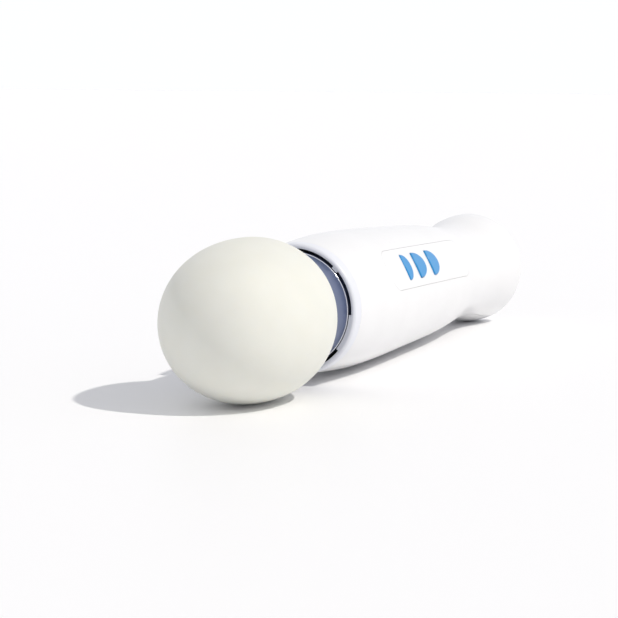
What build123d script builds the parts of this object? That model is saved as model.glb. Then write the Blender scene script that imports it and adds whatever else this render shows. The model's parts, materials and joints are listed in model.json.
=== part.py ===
from build123d import *
from math import atan2, cos, degrees, radians, sin, sqrt
import os

os.makedirs("parts", exist_ok=True)

# ---------------------------------------------------------------------------
# Driving dimensions, in millimetres.
#
# The wand is built upright and laid down at the very end. Upright, Z runs
# from the tip of the head (0) to the tail, and the buttons face -Y.
# ---------------------------------------------------------------------------

# Overall sizes
head_radius = 25.0
head_nose = 33.3            # head tip to its widest ring
head_rear = 20.1            # widest ring to the rear lip of the head
neck_gap = 13.2             # rear lip of the head to the collar face
handle_length = 178.4       # collar face to the tail end
button_height = 28.0        # degrees the buttons face above the horizontal when it lies

# Head outline, as shares of its own radius and lengths
nose_fullness = 0.741       # how square the nose is: 0.707 is a plain ellipse
rear_mid_along = 0.60       # a point on the rear of the head
rear_mid_radius = 0.930

# Handle outline: share of the handle's length, then radius
collar_radius = 20.8
handle_swell = [(0.14, 22.44), (0.30, 22.34), (0.47, 21.30), (0.65, 19.70), (0.86, 18.10)]
rim_radius = 20.9
rim_round = 4.5

# Walls and general clearances
shell_wall = 2.2
cover_wall = 3.0            # silicone head cover
core_wall = 2.4             # rigid halves inside it
snug = 0.10                 # gap between pieces that are pushed together
fit = 0.02                  # radial gap of a shaft or a bearing in its seat
running = 0.05              # radial gap of surfaces that slide on each other
seam = 0.20                 # open line between the two handle shells

# Neck and ball joint
neck_radius = 18.1
neck_wall = 1.2
lip_step = 0.8              # rear lip of the head over the neck
pivot_depth = 1.2           # collar face to the ball's centre
swing_room = 1.25           # inside of the neck's sleeve to the ball's socket
seat_wall = 1.95            # rubber ring round the ball
ball_step = 3.0             # ball's radius over its tube's
tube_bore = 4.5
socket_wall = 1.3
neck_flange = 2.0
sleeve_disc = 1.5           # the sleeve's front, held under the tube's flange
neck_screw_depth = 3.0      # how far the neck screws go into the head

# Collar ring
collar_gap = 1.30           # neck to the collar's inner lip
collar_band = 4.4
collar_round = 1.1
tab_reach = 0.80            # how far the collar's tabs come in from its lip
tab_width = 2.2
tab_depth = 2.4
tab_pitch = 50.0            # degrees
first_tab = -34.0           # degrees from the buttons, round the wand
spigot_wall = 0.8
flange_thickness = 2.5

# Screws
screw_radius = 1.1
screw_head_radius = 2.1
screw_head_height = 1.5
boss_radius = 2.7
screw_drive = 0.9           # hexagon in the screw heads, and its depth
shell_screw_seat = 6.0      # seam to the underside of a shell screw's head
shell_screw_reach = 7.0     # seam to the screw's tip, in the front shell

# Eccentric drive in the head
drive_radius = 1.5          # radius of both shafts
bearing_radius = 5.0
bearing_width = 4.0
ring_thickness = 0.85
bearing_ball_count = 7
weight_length = 20.0
weight_half_turn = 85.0     # degrees the weight reaches to each side of its middle
weight_clearance = 1.2

# Motor
motor_radius = 13.5
motor_length = 24.0
motor_wall = 1.2
motor_cap = 3.0
magnet_thickness = 2.6
air_gap = 0.4
mount_wall = 3.0
mount_width = 3.0
rib_width = 2.0
motor_setback = 17.4        # collar face to the front of the motor

# Buttons, switches and board
button_setback = 46.6       # collar face to the first button
button_lengths = [5.8, 9.6, 9.0]
button_spacing = 5.4        # open space between two buttons
button_half_width = 4.6
button_bow = 1.1            # how far the button's head side bows out
button_flank = 0.18         # straight share of its length along each flank
button_corner = 0.7
button_raise = 0.5
button_travel = 0.7
button_gap = 0.15
button_flange = 0.8
flange_gap = 1.0            # inside of the shell to a button's flange
panel_half_width = 7.2
panel_depth = 1.2
panel_head_end = 32.0       # middle button to the panel's head end
panel_tail_end = 56.0
board_half_width = 8.4
board_thickness = 1.2
board_gap = 0.5             # board to the motor's can
board_front_reach = 4.5     # first button's middle to the board's front
board_back_reach = 24.0     # last button's middle to the board's back
switch_size = 6.0
switch_height = 1.2
plunger_radius = 1.2
button_stem = 0.2           # shortest stem, from a button's flange to its plunger

# Battery
battery_radius = 9.1
battery_length = 65.0
battery_offset = 2.0        # towards the rear shell
battery_setback = 61.5      # collar face to the front of the battery
cradle_wall = 1.6
foam_thickness = 1.5

# Tail
tail_cap_radius = 14.4
tail_cap_thickness = 2.7
tail_cap_sink = 0.6
tail_ledge = 1.4
recess_radius = 4.5
socket_radius = 5.5
socket_length = 12.0
socket_gap = 0.4            # tail cap to the socket's face
jack_radius = 2.75
pin_radius = 0.65
lead_radius = 0.6

# ---------------------------------------------------------------------------
# Places along the wand that several pieces share.
# ---------------------------------------------------------------------------

head_lip = head_nose + head_rear
collar_face = head_lip + neck_gap
pivot = collar_face + pivot_depth
nose_end = collar_face + collar_band
tail = collar_face + handle_length
lip_radius = neck_radius + collar_gap
socket_outer = neck_radius - neck_wall - swing_room
socket_bore = socket_outer - socket_wall
cup_radius = socket_bore - socket_wall
seat_radius = cup_radius - running
ball_radius = seat_radius - seat_wall - running
ball_half = ball_radius / 2     # half the length of the slice that is left of the ball
tube_radius = ball_radius - ball_step
spigot_radius = lip_radius + spigot_wall
flange_face = pivot + ball_half + 1.5
flange_end = flange_face + flange_thickness
motor_front = collar_face + motor_setback
motor_back = motor_front + motor_length
mount_radius = motor_radius + mount_wall
board_inner = motor_radius + board_gap
board_outer = board_inner + board_thickness
button_places = []
button_edge = collar_face + button_setback
for length in button_lengths:
    button_places.append(button_edge + length / 2)
    button_edge = button_edge + length + button_spacing
middle_button = button_places[1]
battery_front = collar_face + battery_setback
battery_back = battery_front + battery_length
core_radius = head_radius - cover_wall - snug
inner_core_radius = core_radius - core_wall


def handle_points(inset):
    """The handle's outline from the collar to the widest ring of its rim."""
    points = [(collar_radius - inset, collar_face)]
    for share, radius in handle_swell:
        points.append((radius - inset, collar_face + share * handle_length))
    points.append((rim_radius - inset, tail - rim_round))
    return points


def handle_radius(place):
    """The handle's outer radius at a place along the wand, between its outline points."""
    points = handle_points(0)
    for (near, start), (far, end) in zip(points, points[1:]):
        if place <= end:
            return near + (far - near) * (place - start) / (end - start)
    return points[-1][0]


def revolve_points(points):
    """A ring or a solid turned about the wand's axis from a polygon of (radius, place)."""
    with BuildPart() as turned:
        with BuildSketch(Plane.XZ):
            with BuildLine():
                Polyline(*points, close=True)
            make_face()
        revolve(axis=Axis.Z)
    return turned.part


def ring(inner, outer, start, end):
    """A plain ring about the wand's axis."""
    return revolve_points([(inner, start), (outer, start), (outer, end), (inner, end)])


def disc(radius, start, end):
    """A plain cylinder about the wand's axis."""
    return revolve_points([(0, start), (radius, start), (radius, end), (0, end)])


def head_blank(inset, end):
    """The head's outline inset evenly and turned solid, cut off square at its rear end."""
    radius = head_radius - inset
    nose = head_nose - inset
    rear = end - head_nose
    with BuildPart() as turned:
        with BuildSketch(Plane.XZ):
            with BuildLine():
                Spline(
                    (0, inset),
                    (nose_fullness * radius, head_nose - nose_fullness * nose),
                    (radius, head_nose),
                    tangents=[(1, 0), (0, 1)],
                )
                Spline(
                    (radius, head_nose),
                    (rear_mid_radius * radius, head_nose + rear_mid_along * rear),
                    (neck_radius + lip_step - inset, end),
                    tangents=[(0, 1), (-0.75, 1)],
                )
                Polyline((neck_radius + lip_step - inset, end), (0, end), (0, inset))
            make_face()
        revolve(axis=Axis.Z)
    return turned.part


def handle_blank(inset):
    """The handle's outline turned solid, from the collar face to the tail."""
    points = handle_points(inset)
    rim = points[-1][0]
    with BuildPart() as turned:
        with BuildSketch(Plane.XZ):
            with BuildLine():
                Spline(*points, tangents=[(0.06, 1), (0, 1)])
                if inset > 0:
                    Polyline(points[-1], (0, tail - rim_round), (0, collar_face), points[0])
                else:
                    CenterArc((rim - rim_round, tail - rim_round), rim_round, 0, 90)
                    Polyline((rim - rim_round, tail), (0, tail), (0, collar_face), points[0])
            make_face()
        revolve(axis=Axis.Z)
    return turned.part


def round_places(count, radius, first=0.0):
    """Places evenly round the wand's axis."""
    turns = [radians(first + 360 * index / count) for index in range(count)]
    return [(radius * cos(turn), radius * sin(turn)) for turn in turns]


# ---------------------------------------------------------------------------
# Head: a silicone cover over two rigid halves that carry the eccentric drive.
# ---------------------------------------------------------------------------

cover_seat = head_lip - cover_wall

with BuildPart() as head_cover:
    add(head_blank(0, head_lip))
    add(head_blank(cover_wall, cover_seat), mode=Mode.SUBTRACT)
    add(disc(neck_radius + lip_step - cover_wall, cover_seat - 1, head_lip + 1), mode=Mode.SUBTRACT)
head_cover.part.label = "head_cover"

front_seat_end = head_nose - weight_length / 2 - 3.5
front_seat = front_seat_end - bearing_width
rear_seat = head_nose + weight_length / 2 + 1.5
rear_wall = head_lip - core_wall - 1
rear_core_radius = neck_radius + lip_step - cover_wall - snug
head_screw_ring = inner_core_radius - boss_radius + 0.4
head_screw_places = round_places(3, head_screw_ring, button_height + 60)
boss_half = 5.0
pocket_radius = bearing_radius + fit
boss_outer = pocket_radius + core_wall

with BuildPart() as head_hollow:
    add(head_blank(cover_wall + snug + core_wall, rear_wall - 0.5))
    add(disc(boss_outer, 0, front_seat_end), mode=Mode.SUBTRACT)
    add(disc(boss_outer, rear_seat, head_lip), mode=Mode.SUBTRACT)
    with BuildSketch(Plane.XY.offset(head_nose - boss_half)):
        with Locations(*head_screw_places):
            Circle(boss_radius)
    extrude(amount=2 * boss_half, mode=Mode.SUBTRACT)

with BuildPart() as head_core_front:
    add(head_blank(cover_wall + snug, cover_seat))
    add(head_hollow.part, mode=Mode.SUBTRACT)
    split(bisect_by=Plane.XY.offset(head_nose), keep=Keep.BOTTOM)
    add(disc(pocket_radius, front_seat, front_seat_end + 1), mode=Mode.SUBTRACT)
    add(disc(drive_radius + 1, front_seat - 1.5, front_seat), mode=Mode.SUBTRACT)
    with BuildSketch(Plane.XY.offset(head_nose)):
        with Locations(*head_screw_places):
            Circle(screw_radius)
    extrude(amount=-boss_half + 0.8, mode=Mode.SUBTRACT)
head_core_front.part.label = "head_core_front"

screw_head_seat = head_nose + 3.0
tube_flange_radius = neck_radius - neck_wall - 1.2
neck_screw_ring = tube_flange_radius - screw_head_radius - 0.6
neck_screw_places = round_places(3, neck_screw_ring, button_height)

with BuildPart() as head_core_rear:
    add(head_blank(cover_wall + snug, cover_seat))
    add(disc(rear_core_radius, cover_seat, head_lip))
    add(head_hollow.part, mode=Mode.SUBTRACT)
    split(bisect_by=Plane.XY.offset(head_nose), keep=Keep.TOP)
    add(disc(pocket_radius, rear_seat - 1, rear_seat + bearing_width), mode=Mode.SUBTRACT)
    add(disc(drive_radius + 1.5, rear_seat, head_lip + 1), mode=Mode.SUBTRACT)
    with BuildSketch(Plane.XY.offset(head_nose)):
        with Locations(*head_screw_places):
            Circle(screw_radius + snug)
    extrude(amount=screw_head_seat - head_nose, mode=Mode.SUBTRACT)
    with BuildSketch(Plane.XY.offset(screw_head_seat)):
        with Locations(*head_screw_places):
            Circle(screw_head_radius + snug)
    extrude(amount=head_rear, mode=Mode.SUBTRACT)
    with BuildSketch(Plane.XY.offset(head_lip - neck_screw_depth - 0.5)):
        with Locations(*neck_screw_places):
            Circle(screw_radius)
    extrude(amount=neck_screw_depth + 1, mode=Mode.SUBTRACT)
head_core_rear.part.label = "head_core_rear"

with BuildPart() as head_screws:
    with BuildSketch(Plane.XY.offset(head_nose - boss_half + 1)):
        with Locations(*head_screw_places):
            Circle(screw_radius - fit)
    extrude(amount=boss_half - 1 + screw_head_seat - head_nose)
    with BuildSketch(Plane.XY.offset(screw_head_seat)):
        with Locations(*head_screw_places):
            Circle(screw_head_radius)
    extrude(amount=screw_head_height)
    with BuildSketch(Plane.XY.offset(screw_head_seat + screw_head_height)):
        with Locations(*head_screw_places):
            RegularPolygon(screw_drive, 6)
    extrude(amount=-screw_drive, mode=Mode.SUBTRACT)
head_screws.part.label = "head_screws"

race_outer = bearing_radius - ring_thickness
race_inner = drive_radius + fit + ring_thickness
bearing_ball_radius = (race_outer - race_inner) / 2 - fit
bearing_starts = (front_seat, rear_seat)

with BuildPart() as head_bearing_outer_rings:
    for start in bearing_starts:
        add(ring(race_outer, bearing_radius, start, start + bearing_width))
head_bearing_outer_rings.part.label = "head_bearing_outer_rings"

with BuildPart() as head_bearing_inner_rings:
    for start in bearing_starts:
        add(ring(drive_radius + fit, race_inner, start, start + bearing_width))
head_bearing_inner_rings.part.label = "head_bearing_inner_rings"

with BuildPart() as head_bearing_balls:
    for start in bearing_starts:
        middle = start + bearing_width / 2
        for x, y in round_places(bearing_ball_count, (race_outer + race_inner) / 2):
            with Locations((x, y, middle)):
                Sphere(bearing_ball_radius)
head_bearing_balls.part.label = "head_bearing_balls"

coupling_front = pivot - 12.0
coupling_back = pivot + 12.0
shaft_overlap = 6.0

with BuildPart() as eccentric_shaft:
    add(disc(drive_radius, front_seat, coupling_front + shaft_overlap))
eccentric_shaft.part.label = "eccentric_shaft"

weight_radius = head_screw_ring - boss_radius - weight_clearance
weight_hub = drive_radius + 2.2
along = cos(radians(weight_half_turn))
across = sin(radians(weight_half_turn))

with BuildPart() as eccentric_weight:
    with BuildSketch(Plane.XY.offset(head_nose - weight_length / 2)):
        with BuildLine(Location((0, 0), button_height)):
            CenterArc((0, 0), weight_radius, -weight_half_turn, 2 * weight_half_turn)
            CenterArc((0, 0), weight_hub, weight_half_turn, 360 - 2 * weight_half_turn)
            Line((weight_hub * along, weight_hub * across), (weight_radius * along, weight_radius * across))
            Line((weight_hub * along, -weight_hub * across), (weight_radius * along, -weight_radius * across))
        make_face()
        Circle(drive_radius + fit, mode=Mode.SUBTRACT)
    extrude(amount=weight_length)
    chamfer(eccentric_weight.edges().filter_by(GeomType.CIRCLE).group_by(SortBy.RADIUS)[-1], 0.8)
eccentric_weight.part.label = "eccentric_weight"

# ---------------------------------------------------------------------------
# Neck: a tube with a ball, held by a rubber ring in a two-part socket.
# ---------------------------------------------------------------------------

sleeve_end = pivot + 4.0
tube_flange_face = head_lip + sleeve_disc
tube_flange_end = tube_flange_face + neck_flange


def ball_zone(radius, half):
    """A slice of a ball about the neck's pivot."""
    rim = sqrt(radius**2 - half**2)
    turn = degrees(atan2(half, rim))
    with BuildPart() as zone:
        with BuildSketch(Plane.XZ):
            with BuildLine():
                CenterArc((0, pivot), radius, -turn, 2 * turn)
                Polyline((rim, pivot + half), (0, pivot + half), (0, pivot - half), (rim, pivot - half))
            make_face()
        revolve(axis=Axis.Z)
    return zone.part


with BuildPart() as neck_tube:
    add(disc(tube_flange_radius, tube_flange_face, tube_flange_end))
    add(disc(tube_radius, tube_flange_end, pivot))
    add(ball_zone(ball_radius, ball_half))
    add(disc(tube_bore, head_lip, pivot + ball_half + 1), mode=Mode.SUBTRACT)
    with BuildSketch(Plane.XY.offset(tube_flange_face)):
        with Locations(*neck_screw_places):
            Circle(screw_radius + snug)
    extrude(amount=neck_flange, mode=Mode.SUBTRACT)
neck_tube.part.label = "neck_tube"

with BuildPart() as neck_sleeve:
    add(disc(neck_radius, head_lip + snug, sleeve_end))
    add(disc(neck_radius - neck_wall, tube_flange_face, sleeve_end + 1), mode=Mode.SUBTRACT)
    add(disc(tube_bore, head_lip, tube_flange_face + 1), mode=Mode.SUBTRACT)
    with BuildSketch(Plane.XY.offset(head_lip)):
        with Locations(*neck_screw_places):
            Circle(screw_radius + snug)
    extrude(amount=sleeve_disc + 1, mode=Mode.SUBTRACT)
    fillet(neck_sleeve.edges().group_by(Axis.Z)[-1], neck_wall / 3)
neck_sleeve.part.label = "neck_sleeve"

with BuildPart() as neck_screws:
    with BuildSketch(Plane.XY.offset(head_lip - neck_screw_depth)):
        with Locations(*neck_screw_places):
            Circle(screw_radius - fit)
    extrude(amount=neck_screw_depth + sleeve_disc + neck_flange)
    with BuildSketch(Plane.XY.offset(tube_flange_end)):
        with Locations(*neck_screw_places):
            Circle(screw_head_radius)
    extrude(amount=screw_head_height)
neck_screws.part.label = "neck_screws"

with BuildPart() as neck_seat:
    add(ball_zone(seat_radius, ball_half - 0.5))
    with Locations((0, 0, pivot)):
        Sphere(ball_radius + running, mode=Mode.SUBTRACT)
neck_seat.part.label = "neck_seat"

socket_face = pivot - ball_half - 0.3

with BuildPart() as socket_front:
    add(disc(socket_outer, socket_face, flange_face))
    add(disc(spigot_radius - snug, flange_face, flange_end))
    with Locations((0, 0, pivot)):
        Sphere(cup_radius, mode=Mode.SUBTRACT)
    add(disc(socket_bore, pivot, flange_end + 1), mode=Mode.SUBTRACT)
    fillet(socket_front.edges().group_by(Axis.Z)[0].sort_by(SortBy.RADIUS)[-1], 0.6)
socket_front.part.label = "socket_front"

with BuildPart() as socket_rear:
    add(disc(socket_bore - fit, pivot + fit, flange_face - fit))
    with Locations((0, 0, pivot)):
        Sphere(cup_radius, mode=Mode.SUBTRACT)
    add(disc(tube_radius + 2.5, pivot, flange_end), mode=Mode.SUBTRACT)
socket_rear.part.label = "socket_rear"

with BuildPart() as socket_clip:
    add(ring(socket_bore - 2.2, socket_bore - fit, flange_face, flange_face + 1.2))
socket_clip.part.label = "socket_clip"

slot_turn = tab_pitch - degrees(tab_width / lip_radius)
slot_bottom = neck_radius - 2.0
slot_along = cos(radians(slot_turn))
slot_across = sin(radians(slot_turn))

# The collar ring closes the front of the handle. Its inner lip has short tabs
# with open slots between them, and one solid land on each side of the wand.
with BuildPart() as collar_ring:
    add(handle_blank(0))
    split(bisect_by=Plane.XY.offset(nose_end), keep=Keep.BOTTOM)
    fillet(collar_ring.edges().group_by(Axis.Z)[0], collar_round)
    add(ring(lip_radius - 0.1, spigot_radius, nose_end - 0.5, flange_face - snug))
    add(disc(lip_radius - tab_reach, collar_face - 1, nose_end + 1), mode=Mode.SUBTRACT)
    add(disc(lip_radius, collar_face + tab_depth, flange_face + 1), mode=Mode.SUBTRACT)
    for side in (0, 180):
        for slot in range(3):
            middle = -90 - first_tab - tab_pitch * (slot + 0.5) + side
            with BuildSketch(Plane.XY.offset(collar_face - 1)):
                with BuildLine(Location((0, 0), middle - slot_turn / 2)):
                    CenterArc((0, 0), lip_radius, 0, slot_turn)
                    CenterArc((0, 0), slot_bottom, 0, slot_turn)
                    Line((slot_bottom, 0), (lip_radius, 0))
                    Line(
                        (slot_bottom * slot_along, slot_bottom * slot_across),
                        (lip_radius * slot_along, lip_radius * slot_across),
                    )
                make_face()
            extrude(amount=tab_depth + 2, mode=Mode.SUBTRACT)
collar_ring.part.label = "collar_ring"

# ---------------------------------------------------------------------------
# Handle shells: two moulded halves that meet on the plane y = 0.
# ---------------------------------------------------------------------------

rib_places = [motor_front + 2.0 + mount_width / 2, motor_back - 1.0 - mount_width / 2]
boss_rows = [(rib_places[0] + rib_places[1]) / 2, battery_back - 3.0]
screw_columns = []
for row in boss_rows:
    reach = handle_radius(row) - shell_wall - boss_radius + 0.5
    screw_columns.append((reach, row))
    screw_columns.append((-reach, row))

with BuildPart() as shell_hollow:
    add(handle_blank(shell_wall))
    add(disc(spigot_radius + snug / 2, collar_face, flange_end))
    add(ring(lip_radius - 2.4, rim_radius * 2, flange_end, flange_end + rib_width), mode=Mode.SUBTRACT)
    for place in rib_places:
        add(
            ring(mount_radius + snug / 2, rim_radius * 2, place - rib_width / 2, place + rib_width / 2),
            mode=Mode.SUBTRACT,
        )
    with BuildSketch(Plane.XZ.offset(-rim_radius * 2)):
        with Locations(*screw_columns):
            Circle(boss_radius)
    extrude(amount=rim_radius * 4, mode=Mode.SUBTRACT)
    add(disc(tail_cap_radius - tail_ledge, tail - rim_round - 1, tail + 1))
    add(disc(tail_cap_radius + snug / 2, tail - tail_cap_sink - tail_cap_thickness, tail + 1))

with BuildPart() as shell_blank:
    add(handle_blank(0))
    split(bisect_by=Plane.XY.offset(nose_end + snug / 2), keep=Keep.TOP)
    add(shell_hollow.part, mode=Mode.SUBTRACT)


def button_outline(length, grow):
    """The outline of a button about its own middle, grown by a gap. It is drawn on Plane.XZ."""
    start = button_bow - length / 2
    flank = start + button_flank * length
    shoulder_x = 0.62 * button_half_width
    shoulder_y = flank + 0.785 * (length / 2 - flank)
    with BuildSketch(mode=Mode.PRIVATE) as outline:
        with BuildLine():
            ThreePointArc((-button_half_width, start), (0, -length / 2), (button_half_width, start))
            Line((button_half_width, start), (button_half_width, flank))
            TangentArc((button_half_width, flank), (shoulder_x, shoulder_y), tangent=(0, 1))
            ThreePointArc((shoulder_x, shoulder_y), (0, length / 2), (-shoulder_x, shoulder_y))
            TangentArc((-button_half_width, flank), (-shoulder_x, shoulder_y), tangent=(0, 1))
            Line((-button_half_width, start), (-button_half_width, flank))
        make_face()
        fillet(outline.vertices().group_by(Axis.Y)[0], button_corner)
        if grow > 0:
            offset(amount=grow)
    return outline.sketch


def crown_blank(start, end):
    """A cone that follows the handle's surface between two places, raised above it."""
    start_radius = handle_radius(start) + button_raise
    end_radius = handle_radius(end) + button_raise
    return revolve_points([(0, start), (start_radius, start), (end_radius, end), (0, end)])


with BuildPart() as panel_recess:
    with BuildSketch(Plane.XZ.offset(board_outer)):
        with Locations((0, middle_button + (panel_tail_end - panel_head_end) / 2)):
            SlotOverall(panel_head_end + panel_tail_end, 2 * (panel_half_width + snug / 2), 90)
    extrude(amount=rim_radius)
    add(handle_blank(panel_depth), mode=Mode.SUBTRACT)

with BuildPart() as button_panel:
    with BuildSketch(Plane.XZ.offset(board_outer)):
        with Locations((0, middle_button + (panel_tail_end - panel_head_end) / 2)):
            SlotOverall(panel_head_end + panel_tail_end - snug, 2 * panel_half_width - snug, 90)
    extrude(amount=rim_radius)
    add(handle_blank(panel_depth), mode=Mode.SUBTRACT)
    add(handle_blank(0), mode=Mode.INTERSECT)
    for place, length in zip(button_places, button_lengths):
        with BuildSketch(Plane.XZ.offset(board_outer)):
            with Locations((0, place)):
                add(button_outline(length, button_gap))
        extrude(amount=rim_radius, mode=Mode.SUBTRACT)
button_panel.part.label = "button_panel"

with BuildPart() as front_shell:
    add(shell_blank.part)
    split(bisect_by=Plane.XZ.offset(seam / 2), keep=Keep.TOP)
    add(panel_recess.part, mode=Mode.SUBTRACT)
    for place, length in zip(button_places, button_lengths):
        with BuildSketch(Plane.XZ.offset(board_outer)):
            with Locations((0, place)):
                add(button_outline(length, button_gap))
        extrude(amount=rim_radius, mode=Mode.SUBTRACT)
    with BuildSketch(Plane.XZ):
        with Locations(*screw_columns):
            Circle(screw_radius)
    extrude(amount=shell_screw_reach + 1, mode=Mode.SUBTRACT)
front_shell.part.label = "front_shell"

with BuildPart() as rear_shell:
    add(shell_blank.part)
    split(bisect_by=Plane.XZ.offset(-seam / 2), keep=Keep.BOTTOM)
    with BuildSketch(Plane.XZ):
        with Locations(*screw_columns):
            Circle(screw_radius + snug)
    extrude(amount=-shell_screw_seat, mode=Mode.SUBTRACT)
    with BuildSketch(Plane.XZ.offset(-shell_screw_seat)):
        with Locations(*screw_columns):
            Circle(screw_head_radius + snug)
    extrude(amount=-rim_radius, mode=Mode.SUBTRACT)
rear_shell.part.label = "rear_shell"

with BuildPart() as shell_screws:
    with BuildSketch(Plane.XZ.offset(shell_screw_reach)):
        with Locations(*screw_columns):
            Circle(screw_radius - fit)
    extrude(amount=-shell_screw_reach - shell_screw_seat)
    with BuildSketch(Plane.XZ.offset(-shell_screw_seat)):
        with Locations(*screw_columns):
            Circle(screw_head_radius)
    extrude(amount=-screw_head_height)
    with BuildSketch(Plane.XZ.offset(-shell_screw_seat - screw_head_height)):
        with Locations(*screw_columns):
            RegularPolygon(screw_drive, 6)
    extrude(amount=screw_drive, mode=Mode.SUBTRACT)
shell_screws.part.label = "shell_screws"

# ---------------------------------------------------------------------------
# Buttons, switches and control board.
# ---------------------------------------------------------------------------

flange_tops = [handle_radius(place) - shell_wall - flange_gap for place in button_places]
switch_top = board_outer + switch_height
plunger_top = min(flange_tops) - button_flange - button_stem
plunger_foot = 0.4          # how deep a plunger sits in its switch
button_names = ["button_front", "button_middle", "button_rear"]
plunger_names = ["switch_plunger_front", "switch_plunger_middle", "switch_plunger_rear"]
buttons = []
plungers = []

for name, place, length, flange_top in zip(button_names, button_places, button_lengths, flange_tops):
    underside = flange_top - button_flange
    with BuildPart() as button:
        with BuildSketch(Plane.XZ.offset(underside)):
            with Locations((0, place)):
                add(button_outline(length, 0))
        extrude(amount=rim_radius)
        add(crown_blank(place - length, place + length), mode=Mode.INTERSECT)
        with BuildSketch(Plane.XZ.offset(underside)):
            with Locations((0, place)):
                add(button_outline(length, button_flange))
        extrude(amount=button_flange)
        with BuildSketch(Plane.XZ.offset(plunger_top + fit)):
            with Locations((0, place)):
                Circle(1.5)
        extrude(amount=underside + button_flange / 2 - plunger_top - fit)
    button.part.label = name
    buttons.append(button)

for name, place in zip(plunger_names, button_places):
    with BuildPart() as plunger:
        with BuildSketch(Plane.XZ.offset(plunger_top)):
            with Locations((0, place)):
                Circle(plunger_radius)
        extrude(amount=switch_top - plunger_foot - plunger_top)
    plunger.part.label = name
    plungers.append(plunger)

with BuildPart() as switch_bodies:
    with BuildSketch(Plane.XZ.offset(board_outer)):
        for place in button_places:
            with Locations((0, place)):
                Rectangle(switch_size, switch_size)
    extrude(amount=switch_height)
    with BuildSketch(Plane.XZ.offset(switch_top)):
        for place in button_places:
            with Locations((0, place)):
                Circle(plunger_radius + running)
    extrude(amount=-plunger_foot - button_travel - snug, mode=Mode.SUBTRACT)
switch_bodies.part.label = "switch_bodies"

board_front = button_places[0] - board_front_reach
board_back = button_places[2] + board_back_reach

with BuildPart() as control_board:
    with BuildSketch(Plane.XZ.offset(board_inner)):
        with Locations((0, (board_front + board_back) / 2)):
            RectangleRounded(2 * board_half_width, board_back - board_front, 1.0)
    extrude(amount=board_thickness)
control_board.part.label = "control_board"

with BuildPart() as microcontroller:
    with BuildSketch(Plane.XZ.offset(board_inner)):
        with Locations((0, button_places[1])):
            Rectangle(7.0, 7.0)
    extrude(amount=-1.4)
microcontroller.part.label = "microcontroller"

with BuildPart() as capacitors:
    with BuildSketch(Plane.XZ.offset(board_inner)):
        with Locations((-4.0, button_places[2] + 4.0), (4.0, button_places[2] + 4.0)):
            Circle(2.0)
    extrude(amount=-4.2)
capacitors.part.label = "capacitors"

# ---------------------------------------------------------------------------
# Battery in its cradle.
# ---------------------------------------------------------------------------

with BuildPart() as battery_cell:
    with BuildSketch(Plane.XY.offset(battery_front)):
        with Locations((0, battery_offset)):
            Circle(battery_radius)
    extrude(amount=battery_length)
    fillet(battery_cell.edges(), 0.6)
battery_cell.part.label = "battery_cell"

tab_thickness = 0.3

with BuildPart() as battery_terminals:
    for start in (battery_front - tab_thickness, battery_back):
        with BuildSketch(Plane.XY.offset(start)):
            with Locations((0, battery_offset)):
                RectangleRounded(5.0, 9.0, 1.0)
        extrude(amount=tab_thickness)
battery_terminals.part.label = "battery_terminals"

with BuildPart() as foam_pads:
    for start in (battery_front - tab_thickness - foam_thickness, battery_back + tab_thickness):
        with BuildSketch(Plane.XY.offset(start)):
            with Locations((0, battery_offset)):
                Circle(battery_radius - 1.0)
        extrude(amount=foam_thickness)
foam_pads.part.label = "foam_pads"

cradle_end_gap = tab_thickness + foam_thickness
cradle_radius = battery_radius + snug

with BuildPart() as battery_cradle:
    with BuildSketch(Plane.XY.offset(battery_front - cradle_end_gap - cradle_wall)):
        with Locations((0, battery_offset)):
            Circle(cradle_radius + cradle_wall)
    extrude(amount=battery_length + 2 * (cradle_end_gap + cradle_wall))
    with BuildSketch(Plane.XY.offset(battery_front - cradle_end_gap)):
        with Locations((0, battery_offset)):
            Circle(cradle_radius)
    extrude(amount=battery_length + 2 * cradle_end_gap, mode=Mode.SUBTRACT)
    split(bisect_by=Plane.XZ.offset(-battery_offset), keep=Keep.BOTTOM)
battery_cradle.part.label = "battery_cradle"

# ---------------------------------------------------------------------------
# Motor in its rubber mounts, and the coupling that turns the eccentric.
# ---------------------------------------------------------------------------

bush_radius = 3.0
bush_length = 3.0
motor_bore = motor_radius - motor_wall
armature_radius = motor_bore - magnet_thickness - air_gap

with BuildPart() as motor_can:
    add(disc(motor_radius, motor_front, motor_back))
    add(disc(motor_bore, motor_front + motor_wall, motor_back + 1), mode=Mode.SUBTRACT)
    add(disc(bush_radius + 1.2, motor_front - 1.2, motor_front + bush_length))
    add(disc(bush_radius, motor_front - 2, motor_front + bush_length + 1), mode=Mode.SUBTRACT)
    fillet(motor_can.edges().filter_by(GeomType.CIRCLE).sort_by(SortBy.RADIUS)[-1], 0.8)
motor_can.part.label = "motor_can"

with BuildPart() as motor_end_cap:
    add(disc(motor_radius, motor_back, motor_back + motor_cap))
    add(disc(bush_radius, motor_back - 1, motor_back + motor_cap + 1), mode=Mode.SUBTRACT)
    chamfer(motor_end_cap.edges().group_by(Axis.Z)[-1].sort_by(SortBy.RADIUS)[-1], 0.8)
motor_end_cap.part.label = "motor_end_cap"

with BuildPart() as motor_bushings:
    add(ring(drive_radius + fit, bush_radius - fit / 2, motor_front - 1.2, motor_front - 1.2 + bush_length))
    add(ring(drive_radius + fit, bush_radius - fit / 2, motor_back, motor_back + bush_length))
motor_bushings.part.label = "motor_bushings"

magnet_front = motor_front + bush_length + 2.0
magnet_back = motor_back - 3.0

with BuildPart() as motor_magnets:
    add(ring(motor_bore - magnet_thickness, motor_bore - fit, magnet_front, magnet_back))
    with BuildSketch(Plane.XY.offset(magnet_front)):
        Rectangle(2 * motor_radius, 5.0)
    extrude(amount=magnet_back - magnet_front, mode=Mode.SUBTRACT)
motor_magnets.part.label = "motor_magnets"

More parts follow.
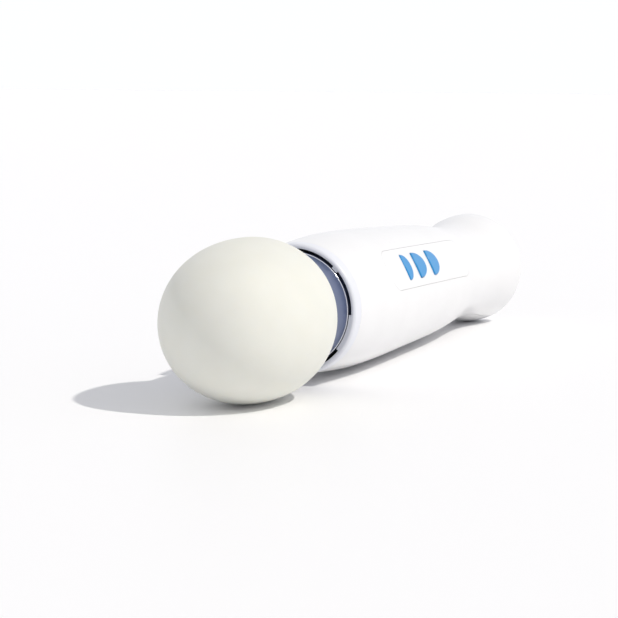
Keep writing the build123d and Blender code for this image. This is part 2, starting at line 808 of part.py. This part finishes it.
with BuildPart() as armature:
    add(ring(drive_radius + fit, armature_radius, magnet_front + 1, magnet_back - 1))
    with BuildSketch(Plane.XY.offset(magnet_front + 1)):
        with PolarLocations(armature_radius - 2.5, 3):
            Rectangle(6.0, 1.6)
            Circle(2.0)
    extrude(amount=magnet_back - magnet_front - 2, mode=Mode.SUBTRACT)
armature.part.label = "armature"

with BuildPart() as commutator:
    add(ring(drive_radius + fit, 3.2, magnet_back - 0.8, motor_back - 0.4))
commutator.part.label = "commutator"

with BuildPart() as motor_shaft:
    add(disc(drive_radius, coupling_back - shaft_overlap, motor_back + motor_cap + 0.5))
motor_shaft.part.label = "motor_shaft"

with BuildPart() as motor_mounts:
    for place in rib_places:
        add(ring(motor_radius + fit, mount_radius, place - mount_width / 2, place + mount_width / 2))
motor_mounts.part.label = "motor_mounts"

coupling_radius = 3.0

with BuildPart() as drive_coupling:
    add(ring(drive_radius + fit, coupling_radius, coupling_front, coupling_back))
drive_coupling.part.label = "drive_coupling"

# ---------------------------------------------------------------------------
# Tail: cap, charging socket and the wires inside.
# ---------------------------------------------------------------------------

cap_face = tail - tail_cap_sink
cap_back = cap_face - tail_cap_thickness
socket_face_end = cap_back - socket_gap
socket_front_end = socket_face_end - socket_length

with BuildPart() as tail_cap:
    add(disc(tail_cap_radius, cap_back, cap_face))
    add(disc(recess_radius, cap_back - 1, cap_face + 1), mode=Mode.SUBTRACT)
    chamfer(tail_cap.edges().group_by(Axis.Z)[-1].sort_by(SortBy.RADIUS)[0], 0.3)
    fillet(tail_cap.edges().group_by(Axis.Z)[-1].sort_by(SortBy.RADIUS)[-1], 0.4)
tail_cap.part.label = "tail_cap"

with BuildPart() as charging_socket:
    add(disc(socket_radius, socket_front_end, socket_face_end))
    add(disc(jack_radius, socket_front_end + 2.5, cap_back + 1), mode=Mode.SUBTRACT)
    add(disc(pin_radius, socket_front_end + 1, cap_back + 1), mode=Mode.SUBTRACT)
charging_socket.part.label = "charging_socket"

with BuildPart() as socket_pin:
    add(disc(pin_radius - fit / 2, socket_front_end + 1, cap_back - 1.2))
socket_pin.part.label = "socket_pin"


def lead_pair(spacing, points):
    """Two wires side by side along a bent path in the plane x = 0, as swept tubes."""
    with BuildPart() as pair:
        for side in (-1, 1):
            shifted = [(side * spacing / 2, y, z) for y, z in points]
            with BuildLine(mode=Mode.PRIVATE) as route:
                FilletPolyline(*shifted, radius=1.8)
            first = route.line @ 0
            with BuildSketch(Plane(origin=first, z_dir=route.line % 0)):
                Circle(lead_radius)
            sweep(path=route.line)
    return pair


motor_leads = lead_pair(
    8.0,
    [
        (-7.0, motor_back + motor_cap),
        (-7.0, motor_back + motor_cap + 4.5),
        (-board_inner, motor_back + motor_cap + 4.5),
    ],
)
motor_leads.part.label = "motor_leads"

lead_height = battery_offset - battery_radius - 2.2

battery_leads = lead_pair(
    10.0,
    [
        (-board_inner, board_back - 3.0),
        (lead_height, board_back - 3.0),
        (lead_height, battery_back + cradle_end_gap + cradle_wall + 3.5),
        (battery_offset, battery_back + cradle_end_gap + cradle_wall + 3.5),
        (battery_offset, battery_back + cradle_end_gap + cradle_wall),
    ],
)
battery_leads.part.label = "battery_leads"

socket_leads = lead_pair(
    5.0,
    [
        (-board_inner, board_back - 7.0),
        (lead_height - 1.6, board_back - 7.0),
        (lead_height - 1.6, socket_front_end - 8.0),
        (-2.5, socket_front_end - 5.0),
        (-2.5, socket_front_end),
    ],
)
socket_leads.part.label = "socket_leads"

# ---------------------------------------------------------------------------
# Lay the wand down: the widest ring of the head and the rim of the tail both
# touch the floor, the buttons look up at their angle on the -Y side, and the
# origin is under the middle of the whole.
# ---------------------------------------------------------------------------

finished = [
    head_cover, head_core_front, head_core_rear, head_screws,
    head_bearing_outer_rings, head_bearing_inner_rings, head_bearing_balls,
    eccentric_shaft, eccentric_weight,
    neck_tube, neck_sleeve, neck_screws, neck_seat, socket_front, socket_rear, socket_clip, collar_ring,
    front_shell, rear_shell, shell_screws, button_panel,
    *buttons, *plungers, switch_bodies, control_board, microcontroller, capacitors,
    battery_cell, battery_terminals, foam_pads, battery_cradle,
    motor_can, motor_end_cap, motor_bushings, motor_magnets, armature, commutator, motor_shaft,
    motor_mounts, drive_coupling,
    tail_cap, charging_socket, socket_pin, motor_leads, battery_leads, socket_leads,
]

lean = degrees(atan2(head_radius - rim_radius, tail - rim_round - head_nose))
turn = Location((0, 0, 0), (0, 90 + lean, 0)) * Location((0, 0, 0), (0, 0, -button_height))
low = [piece.part.moved(turn).bounding_box() for piece in (head_cover, front_shell, rear_shell)]
floor = min(box.min.Z for box in low)
start = min(box.min.X for box in low)
end = max(box.max.X for box in low)
near = min(box.min.Y for box in low)
far = max(box.max.Y for box in low)
lay = Location((-(start + end) / 2, -(near + far) / 2, -floor)) * turn

for piece in finished:
    laid = piece.part.moved(lay)
    laid.label = piece.part.label
    export_step(laid, f"parts/{laid.label}.step")
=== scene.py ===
import json
from math import cos, pi, radians, sin, sqrt

import bmesh
import bpy
from mathutils import Matrix, Vector


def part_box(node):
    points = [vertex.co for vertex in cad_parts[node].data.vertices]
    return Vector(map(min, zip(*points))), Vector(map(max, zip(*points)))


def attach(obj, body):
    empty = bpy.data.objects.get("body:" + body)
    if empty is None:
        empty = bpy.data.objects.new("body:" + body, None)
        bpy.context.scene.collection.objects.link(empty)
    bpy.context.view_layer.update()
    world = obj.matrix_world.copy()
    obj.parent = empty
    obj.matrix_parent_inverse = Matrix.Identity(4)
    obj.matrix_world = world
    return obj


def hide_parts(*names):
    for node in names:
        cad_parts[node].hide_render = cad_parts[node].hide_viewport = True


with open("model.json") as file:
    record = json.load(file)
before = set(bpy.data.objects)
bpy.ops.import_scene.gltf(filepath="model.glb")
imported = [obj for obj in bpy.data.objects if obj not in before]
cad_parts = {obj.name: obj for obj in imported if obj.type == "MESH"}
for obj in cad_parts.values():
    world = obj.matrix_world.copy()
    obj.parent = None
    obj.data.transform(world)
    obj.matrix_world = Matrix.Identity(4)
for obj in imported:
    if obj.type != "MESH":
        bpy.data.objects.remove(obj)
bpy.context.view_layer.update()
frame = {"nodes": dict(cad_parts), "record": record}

# Camera. It stands low beyond the head end and looks along the wand towards its tail, with a long
# lens. Its place is measured from the floor under the middle of the head's widest ring.
joints = {joint["name"]: joint for joint in frame["record"]["behaviour"]["joints"]}
head_middle = Vector(joints["eccentric_spin"]["pos_m"])
camera_offset = Vector((-0.5681, -0.2579, 0.1067))
camera_turn = 0.398          # radians from +X towards +Y
camera_dip = 0.125           # radians below the horizontal
looking = Vector((
    cos(camera_dip) * cos(camera_turn),
    cos(camera_dip) * sin(camera_turn),
    -sin(camera_dip),
))
camera_data = bpy.data.cameras.new("camera")
camera_data.sensor_width = 36.0
camera_data.lens = 121.6
camera_data.clip_start = 0.01
camera = bpy.data.objects.new("camera", camera_data)
camera.location = Vector((head_middle.x, head_middle.y, 0)) + camera_offset
camera.rotation_euler = looking.to_track_quat("-Z", "Y").to_euler()
bpy.context.scene.collection.objects.link(camera)
bpy.context.scene.camera = camera

view = bpy.context.scene.view_settings
view.view_transform = "Standard"
view.look = "None"


# Floor. A sheet of white uncoated paper board that the wand lies on. Its fine grain is matte, and
# only its gloss changes from place to place.
def linear(code):
    """A Blender colour from an sRGB hex code."""
    channels = [int(code[i:i + 2], 16) / 255 for i in (1, 3, 5)]
    return (*[c / 12.92 if c <= 0.04045 else ((c + 0.055) / 1.055) ** 2.4 for c in channels], 1.0)


def add_node(tree, kind, settings=None, inputs=None, links=None):
    """Adds a node, sets its properties and inputs, and links sockets of earlier nodes to its inputs."""
    node = tree.nodes.new(kind)
    for name, value in (settings or {}).items():
        setattr(node, name, value)
    for name, value in (inputs or {}).items():
        node.inputs[name].default_value = value
    for name, socket in (links or {}).items():
        tree.links.new(socket, node.inputs[name])
    return node


def new_material(name):
    """An empty material: the material, its tree and its Object coordinates."""
    material = bpy.data.materials.new(name)
    material.use_nodes = True
    tree = material.node_tree
    tree.nodes.clear()
    place = add_node(tree, "ShaderNodeTexCoord").outputs["Object"]
    return material, tree, place


grain_mm = 2.5
paper, tree, place = new_material("paper_board")
grain = add_node(
    tree, "ShaderNodeTexNoise", inputs={"Scale": 1000.0 / grain_mm, "Detail": 3.0},
    links={"Vector": place},
)
rough = add_node(
    tree, "ShaderNodeMapRange", inputs={"To Min": 0.45, "To Max": 0.60},
    links={"Value": grain.outputs["Fac"]},
)
surface = add_node(
    tree, "ShaderNodeBsdfPrincipled", inputs={"Base Color": linear("#F7F7F8")},
    links={"Roughness": rough.outputs["Result"]},
)
add_node(tree, "ShaderNodeOutputMaterial", links={"Surface": surface.outputs["BSDF"]})

bm = bmesh.new()
bmesh.ops.create_grid(bm, x_segments=2, y_segments=2, size=4.0)
floor_mesh = bpy.data.meshes.new("floor")
bm.to_mesh(floor_mesh)
bm.free()
floor = bpy.data.objects.new("floor", floor_mesh)
floor.data.materials.append(paper)
bpy.context.scene.collection.objects.link(floor)

# Room and main light. A bright white room fills the shadows to a light grey, and it gives less light
# from above than from the sides. A hard main light from the camera's right makes short shadows.
wall_light = 0.82            # what the walls give as light, low down
ceiling_light = 0.44
wall_white = 1.05            # how bright the walls look, plain or mirrored
room = bpy.data.worlds.new("room")
room.use_nodes = True
tree = room.node_tree
tree.nodes.clear()
ray = add_node(tree, "ShaderNodeLightPath")
direction = add_node(tree, "ShaderNodeTexCoord").outputs["Generated"]
height = add_node(tree, "ShaderNodeSeparateXYZ", links={"Vector": direction}).outputs["Z"]
fill = add_node(
    tree, "ShaderNodeMapRange", inputs={"To Min": wall_light, "To Max": ceiling_light},
    links={"Value": height},
)
strength = add_node(
    tree, "ShaderNodeMapRange", inputs={"To Min": wall_white},
    links={"Value": ray.outputs["Is Diffuse Ray"], "To Max": fill.outputs["Result"]},
)
walls = add_node(
    tree, "ShaderNodeBackground", inputs={"Color": linear("#F9FAFF")},
    links={"Strength": strength.outputs["Result"]},
)
add_node(tree, "ShaderNodeOutputWorld", links={"Surface": walls.outputs["Background"]})
bpy.context.scene.world = room

light_from = Vector((-0.05, -0.67, 0.74))
sun_data = bpy.data.lights.new("main_light", "SUN")
sun_data.energy = 2.15
sun_data.angle = radians(1.6)
sun_data.color = linear("#FFFBF4")[:3]
sun = bpy.data.objects.new("main_light", sun_data)
sun.rotation_euler = light_from.to_track_quat("Z", "Y").to_euler()
bpy.context.scene.collection.objects.link(sun)


# Head core. Two rigid halves of moulded nylon, pale and satin, that hold the head's two bearings.
# Plain steel screws join them, and fine tool marks spread the light on the turned heads.
def moulded(name, code, roughness, peel=0.03, spread=0.05, peel_mm=1.2, coat=0.0, metal=0.0):
    """A plastic, rubber or paint that has set against a mould or in the air.

    Its skin has an orange peel, peel mm high and peel_mm wide. Handling changes the gloss by spread,
    and the colour a little, in patches.
    """
    patch_mm = 22.0
    darker = 0.94
    material, tree, place = new_material(name)
    patches = add_node(
        tree, "ShaderNodeTexNoise", inputs={"Scale": 1000.0 / patch_mm, "Detail": 4.0},
        links={"Vector": place},
    )
    rough = add_node(
        tree, "ShaderNodeMapRange",
        inputs={
            "From Min": 0.3, "From Max": 0.7, "To Min": roughness - spread, "To Max": roughness + spread,
        },
        links={"Value": patches.outputs["Fac"]},
    )
    skin = add_node(
        tree, "ShaderNodeTexNoise", inputs={"Scale": 1000.0 / peel_mm, "Detail": 1.5},
        links={"Vector": place},
    )
    bump = add_node(
        tree, "ShaderNodeBump", inputs={"Strength": 0.3, "Distance": peel / 1000},
        links={"Height": skin.outputs["Fac"]},
    )
    shade = add_node(
        tree, "ShaderNodeMix", {"data_type": "RGBA"},
        {"A": linear(code), "B": (*[darker * c for c in linear(code)[:3]], 1.0)},
        {"Factor": patches.outputs["Fac"]},
    )
    surface = add_node(
        tree, "ShaderNodeBsdfPrincipled",
        inputs={"IOR": 1.53, "Coat Weight": coat, "Coat Roughness": 0.08, "Metallic": metal},
        links={
            "Base Color": shade.outputs["Result"], "Roughness": rough.outputs["Result"],
            "Normal": bump.outputs["Normal"],
        },
    )
    add_node(tree, "ShaderNodeOutputMaterial", links={"Surface": surface.outputs["BSDF"]})
    return material


def worked(name, code, roughness):
    """A turned, drawn or ground metal. Its tool marks are drawn coarser than they are, to show."""
    mark_mm = 0.4
    mark_height = 0.01
    material, tree, place = new_material(name)
    marks = add_node(
        tree, "ShaderNodeTexNoise", inputs={"Scale": 1000.0 / mark_mm, "Detail": 2.0},
        links={"Vector": place},
    )
    rough = add_node(
        tree, "ShaderNodeMapRange", inputs={"To Min": roughness - 0.08, "To Max": roughness + 0.08},
        links={"Value": marks.outputs["Fac"]},
    )
    bump = add_node(
        tree, "ShaderNodeBump", inputs={"Strength": 0.2, "Distance": mark_height / 1000},
        links={"Height": marks.outputs["Fac"]},
    )
    surface = add_node(
        tree, "ShaderNodeBsdfPrincipled", inputs={"Base Color": linear(code), "Metallic": 1.0},
        links={"Roughness": rough.outputs["Result"], "Normal": bump.outputs["Normal"]},
    )
    add_node(tree, "ShaderNodeOutputMaterial", links={"Surface": surface.outputs["BSDF"]})
    return material


def dress(material, *names):
    """Gives CAD nodes a material."""
    for name in names:
        node = frame["nodes"][name]
        node.data.materials.clear()
        node.data.materials.append(material)


nylon = moulded("moulded_nylon", "#D2D0C8", 0.55)
plain_steel = worked("plain_steel", "#B4B4B8", 0.35)
dress(nylon, "head_core_front", "head_core_rear")
dress(plain_steel, "head_screws")

# Eccentric. A sintered steel weight, dull and grey, pressed on a ground steel shaft. It runs in two
# ball bearings of hardened steel, ground to a near mirror.
sintered_steel = worked("sintered_steel", "#8A8A8C", 0.55)
bearing_steel = worked("bearing_steel", "#C9CACE", 0.15)
dress(sintered_steel, "eccentric_weight")
dress(plain_steel, "eccentric_shaft")
dress(bearing_steel, "head_bearing_outer_rings", "head_bearing_inner_rings", "head_bearing_balls")

# Head cover. A thick cap of moulded platinum silicone, pulled over the head core, with a squarish nose
# and a rounder rear whose edge tucks in behind the neck's sleeve. Light goes a little way into it, so
# its soft-touch skin looks milky and matte.
axis = Vector(joints["motor_spin"]["axis"]).normalized()
press = Vector(joints["front_button_press"]["axis"]).normalized()
across = press.cross(axis)
upright = Matrix((across, press, axis)).transposed().to_4x4()
cover_low, cover_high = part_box("head_cover")
head_radius = (cover_high.y - cover_low.y) / 2
head_nose = 0.0333           # tip to the widest ring
head_rear = 0.0201           # widest ring to the lip
lip_end = head_nose + head_rear
lay = Matrix.Translation(head_middle - axis * head_nose) @ upright
cover_wall = 0.003
lip_bore = 0.0160
lip_thickness = 0.0012
lip_slant = 0.0006           # how far the tucked edge draws in on its inner side


def turn_outline(points, closed):
    """Spins an outline of (radius, place) points once round the wand's axis."""
    bm = bmesh.new()
    verts = [bm.verts.new((radius, 0.0, along)) for radius, along in points]
    edges = [bm.edges.new(pair) for pair in zip(verts, verts[1:])]
    if closed:
        edges.append(bm.edges.new((verts[-1], verts[0])))
    bmesh.ops.spin(
        bm, geom=verts + edges, cent=(0, 0, 0), axis=(0, 0, 1), angle=2 * pi, steps=160,
        use_merge=True, use_duplicate=False,
    )
    bmesh.ops.remove_doubles(bm, verts=bm.verts[:], dist=1e-7)
    bmesh.ops.recalc_face_normals(bm, faces=bm.faces[:])
    return bm


def add_piece(name, bm, material, body):
    """Lays an upright mesh down along the wand and makes it a piece that rides on a body."""
    bmesh.ops.transform(bm, matrix=lay, verts=bm.verts[:])
    for face in bm.faces:
        face.smooth = True
    mesh = bpy.data.meshes.new(name)
    bm.to_mesh(mesh)
    bm.free()
    piece = bpy.data.objects.new(name, mesh)
    piece.data.materials.append(material)
    bpy.context.scene.collection.objects.link(piece)
    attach(piece, body)
    return piece


def head_outline(inset):
    """The head's outline, inset evenly: a squarish quarter oval at the nose and a rounder one behind."""
    nose_squareness = 2.31
    rear_squareness = 2.21
    rear_reach = 0.0286          # where the rear oval would close
    rear_end = 0.985             # radians of it that are used
    nose_steps = 36
    rear_steps = 18
    radius = head_radius - inset
    nose = head_nose - inset
    rear = rear_reach - inset
    points = []
    for step in range(nose_steps + 1):
        turn = pi / 2 * step / nose_steps
        points.append((
            radius * sin(turn) ** (2 / nose_squareness),
            head_nose - nose * cos(turn) ** (2 / nose_squareness),
        ))
    for step in range(1, rear_steps + 1):
        turn = rear_end * step / rear_steps
        points.append((
            radius * cos(turn) ** (2 / rear_squareness),
            head_nose + rear * sin(turn) ** (2 / rear_squareness),
        ))
    return points


mottle_mm = 11.0
skin_mm = 0.45
skin_height = 0.04
silicone, tree, place = new_material("platinum_silicone")
mottle = add_node(
    tree, "ShaderNodeTexNoise", inputs={"Scale": 1000.0 / mottle_mm, "Detail": 3.0},
    links={"Vector": place},
)
tint = add_node(
    tree, "ShaderNodeMix", {"data_type": "RGBA"},
    {"A": linear("#D8D8CF"), "B": linear("#DFDFD8")},
    {"Factor": mottle.outputs["Fac"]},
)
skin = add_node(
    tree, "ShaderNodeTexNoise", inputs={"Scale": 1000.0 / skin_mm, "Detail": 2.0},
    links={"Vector": place},
)
bump = add_node(
    tree, "ShaderNodeBump", inputs={"Strength": 0.25, "Distance": skin_height / 1000},
    links={"Height": skin.outputs["Fac"]},
)
surface = add_node(
    tree, "ShaderNodeBsdfPrincipled",
    inputs={
        "Roughness": 0.62, "IOR": 1.41, "Subsurface Weight": 0.35, "Subsurface Scale": 0.004,
        "Subsurface Radius": (1.0, 0.85, 0.65), "Sheen Weight": 0.08, "Sheen Roughness": 0.5,
    },
    links={"Base Color": tint.outputs["Result"], "Normal": bump.outputs["Normal"]},
)
add_node(tree, "ShaderNodeOutputMaterial", links={"Surface": surface.outputs["BSDF"]})

outer = head_outline(0.0)
inner = [point for point in head_outline(cover_wall) if point[1] < lip_end - cover_wall]
lip_radius = outer[-1][0]
cover_outline = outer + [
    (lip_radius - lip_slant, lip_end),
    (lip_bore, lip_end),
    (lip_bore, lip_end - lip_thickness),
] + inner[::-1]
head_cover = add_piece("silicone_cover", turn_outline(cover_outline, False), silicone, "head")
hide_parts("head_cover")

# Neck. A sleeve of ABS in a satin blue-grey paint with metal flakes, over a black acetal tube with a
# ball at its end. A thin ring of polished aluminium is pressed on the sleeve, and shows as a bright
# line where the neck goes into the collar.
neck_radius = 0.0181
collar_face = lip_end + 0.0132
ring_place = collar_face + 0.0002
ring_base = neck_radius - 0.0002
ring_shoulder = neck_radius + 0.0001
ring_top = neck_radius + 0.00022
ring_half = 0.0004
ring_flat = 0.00025
ring_outline = [
    (ring_base, ring_place - ring_half),
    (ring_shoulder, ring_place - ring_half),
    (ring_top, ring_place - ring_flat),
    (ring_top, ring_place + ring_flat),
    (ring_shoulder, ring_place + ring_half),
    (ring_base, ring_place + ring_half),
]
polished_aluminium = worked("polished_aluminium", "#D9DAE0", 0.16)
add_piece("neck_trim", turn_outline(ring_outline, True), polished_aluminium, "head")
satin_paint = moulded("metallic_paint", "#566180", 0.34, spread=0.03, metal=0.2)
black_acetal = moulded("black_acetal", "#121214", 0.5)
dress(satin_paint, "neck_sleeve")
dress(black_acetal, "neck_tube")

# Neck joint. The neck's ball sits in a black acetal socket in two parts, held by a spring steel clip
# and by screws. A ring of black rubber, matte and slightly grainy, brings the neck back straight.
black_rubber = moulded("black_rubber", "#141414", 0.7, peel=0.06)
dress(black_acetal, "socket_front", "socket_rear")
dress(plain_steel, "socket_clip", "neck_screws")
dress(black_rubber, "neck_seat")

# Motor. A drawn steel can with a moulded end cap, ferrite magnets with a dull dark skin, copper
# windings and commutator, bronze bushings and a steel shaft. It hangs in rubber mounts, and a rubber
# coupling joins it to the eccentric.
ferrite = moulded("ferrite", "#26262A", 0.6)
copper = worked("copper", "#C27A4E", 0.35)
bronze = worked("sintered_bronze", "#A87B45", 0.45)
dress(plain_steel, "motor_can", "motor_shaft")
dress(black_acetal, "motor_end_cap")
dress(ferrite, "motor_magnets")
dress(copper, "armature", "commutator")
dress(bronze, "motor_bushings")
dress(black_rubber, "motor_mounts", "drive_coupling")

# Board. Glass-fibre laminate under a smooth green solder mask, with a black microcontroller and
# capacitors in bare metal cans soldered on. Three black switches with nylon plungers stand under the
# buttons.
solder_mask = moulded("solder_mask", "#0E4A2A", 0.3)
dress(solder_mask, "control_board")
dress(black_acetal, "microcontroller", "switch_bodies")
dress(plain_steel, "capacitors")
dress(nylon, "switch_plunger_front", "switch_plunger_middle", "switch_plunger_rear")

# Battery. One lithium cell in a glossy blue shrink sleeve, with bright nickel tabs welded to its ends.
# It lies in a black cradle between pads of black foam, whose open cells make them rough.
shrink_sleeve = moulded("pvc_shrink_sleeve", "#1F4A9C", 0.25)
foam = moulded("polyurethane_foam", "#1B1B1C", 0.9, peel=0.3, peel_mm=0.8)
nickel = worked("nickel_plate", "#C9C4B6", 0.3)
dress(shrink_sleeve, "battery_cell")
dress(black_acetal, "battery_cradle")
dress(foam, "foam_pads")
dress(nickel, "battery_terminals")

# Charging socket and wires. A black socket with a nickel-plated pin behind the tail's recess, and
# pairs of wires in a smooth red vinyl jacket, soldered to the board.
red_vinyl = moulded("red_vinyl", "#A21512", 0.4)
dress(black_acetal, "charging_socket")
dress(nickel, "socket_pin")
dress(red_vinyl, "motor_leads", "battery_leads", "socket_leads")

# Collar and handle. Two glossy shells of moulded white ABS that steel screws join from the rear, with
# a panel let into the front one and a cap in the tail. The collar is a satin ring of light grey ABS,
# held by its flange between the shells.
white_abs = moulded("white_abs", "#E7E7E8", 0.33, peel=0.002, spread=0.03, coat=0.25)
grey_abs = moulded("grey_abs", "#DDDFE6", 0.35, peel=0.004)
dress(white_abs, "front_shell", "rear_shell", "button_panel", "tail_cap")
dress(grey_abs, "collar_ring")
dress(plain_steel, "shell_screws")

# Buttons. Moulded blue ABS, satin, with a rounded edge that catches the light. Each is a crown that
# stands a little proud of the panel, a flange that holds it behind the panel, and a short stem that
# presses its switch. The crown's outline is read from the CAD solid.
edge_round = 0.00035
edge_steps = 6
flange_reach = 0.0008
flange_recess = 0.0002       # how far the crown's wall goes on above the flange
stem_radius = 0.0015
rim_band = 0.0008            # how far inside its outermost point a rim can dip
sharp_turn = 0.8             # radians between the faces at a crown's edge
blue_abs = moulded("blue_abs", "#0E86C6", 0.36, peel=0.006)


def crown_rim(source):
    """The points of a button's outer rim in order, and the depths of its flange and its stem."""
    bm = bmesh.new()
    bm.from_mesh(frame["nodes"][source].data)
    bmesh.ops.transform(bm, matrix=lay.inverted(), verts=bm.verts[:])
    bmesh.ops.remove_doubles(bm, verts=bm.verts[:], dist=1e-7)
    bm.normal_update()
    inside = max(vert.co.xy.length for vert in bm.verts) - rim_band
    sharp = [edge for edge in bm.edges if edge.calc_face_angle(0.0) > sharp_turn]
    rim = {edge for edge in sharp if min(vert.co.xy.length for vert in edge.verts) > inside}
    edge = rim.pop()
    vert = edge.verts[0]
    points = [vert.co.copy()]
    while rim:
        vert = edge.other_vert(vert)
        points.append(vert.co.copy())
        edge = next(near for near in vert.link_edges if near in rim)
        rim.remove(edge)
    flange = min(vert.co.y for vert in bm.verts if vert.co.xy.length < inside)
    stem = max(vert.co.y for vert in bm.verts)
    bm.free()
    return points, flange, stem


def moved_in(points, distance):
    """A closed outline of (x, place) points moved inwards by a distance."""
    turned = sum(a.cross(b) for a, b in zip(points, points[1:] + points[:1]))
    moved = []
    for before, point, after in zip(points[-1:] + points[:-1], points, points[1:] + points[:1]):
        along = (after - before).normalized()
        inward = Vector((-along.y, along.x)) if turned > 0 else Vector((along.y, -along.x))
        moved.append(point + inward * distance)
    return moved


def rounded_button(name, source, body):
    """A button with a rounded edge, made ring by ring from its crown to its stem."""
    rim, flange, stem = crown_rim(source)
    low = min(rim, key=lambda point: point.z)
    high = max(rim, key=lambda point: point.z)
    grow = (high.xy.length - low.xy.length) / (high.z - low.z)
    outline = [Vector((point.x, point.z)) for point in rim]
    middle = Vector((0, (low.z + high.z) / 2))

    def on_crown(points, drop=0.0):
        """Points laid on the crown, or a little below it."""
        radii = [low.xy.length + grow * (point.y - low.z) for point in points]
        return [(p.x, drop - sqrt(radius ** 2 - p.x ** 2), p.y) for p, radius in zip(points, radii)]

    top = moved_in(outline, edge_round)
    loops = []
    for share in (0.3, 0.6, 0.85, 1.0):
        loops.append(on_crown([middle + (point - middle) * share for point in top]))
    for step in range(1, edge_steps + 1):
        turn = pi / 2 * step / edge_steps
        inset = moved_in(outline, edge_round * (1 - sin(turn)))
        loops.append(on_crown(inset, edge_round * (1 - cos(turn))))
    wide = moved_in(outline, -flange_reach)
    round_stem = [middle + (point - middle).normalized() * stem_radius for point in outline]
    for points, depth in (
        (outline, flange - flange_recess),
        (outline, flange),
        (wide, flange),
        (wide, flange + flange_reach),
        (round_stem, flange + flange_reach),
        (round_stem, stem),
    ):
        loops.append([(point.x, depth, point.y) for point in points])

    bm = bmesh.new()
    rings = [[bm.verts.new(spot) for spot in loop] for loop in loops]
    for ring, after in zip(rings, rings[1:]):
        for i in range(len(ring)):
            bm.faces.new((ring[i - 1], ring[i], after[i], after[i - 1]))
    for ring, spot in ((rings[0], on_crown([middle])[0]), (rings[-1], (0, stem, middle.y))):
        cap = bm.faces.new(ring)
        centre = bmesh.ops.poke(bm, faces=[cap])["verts"][0]
        centre.co = spot
    bmesh.ops.recalc_face_normals(bm, faces=bm.faces[:])
    piece = add_piece(name, bm, blue_abs, body)
    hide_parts(source)


for which in ("front", "middle", "rear"):
    rounded_button(f"{which}_button_cap", f"button_{which}", f"{which}_button")
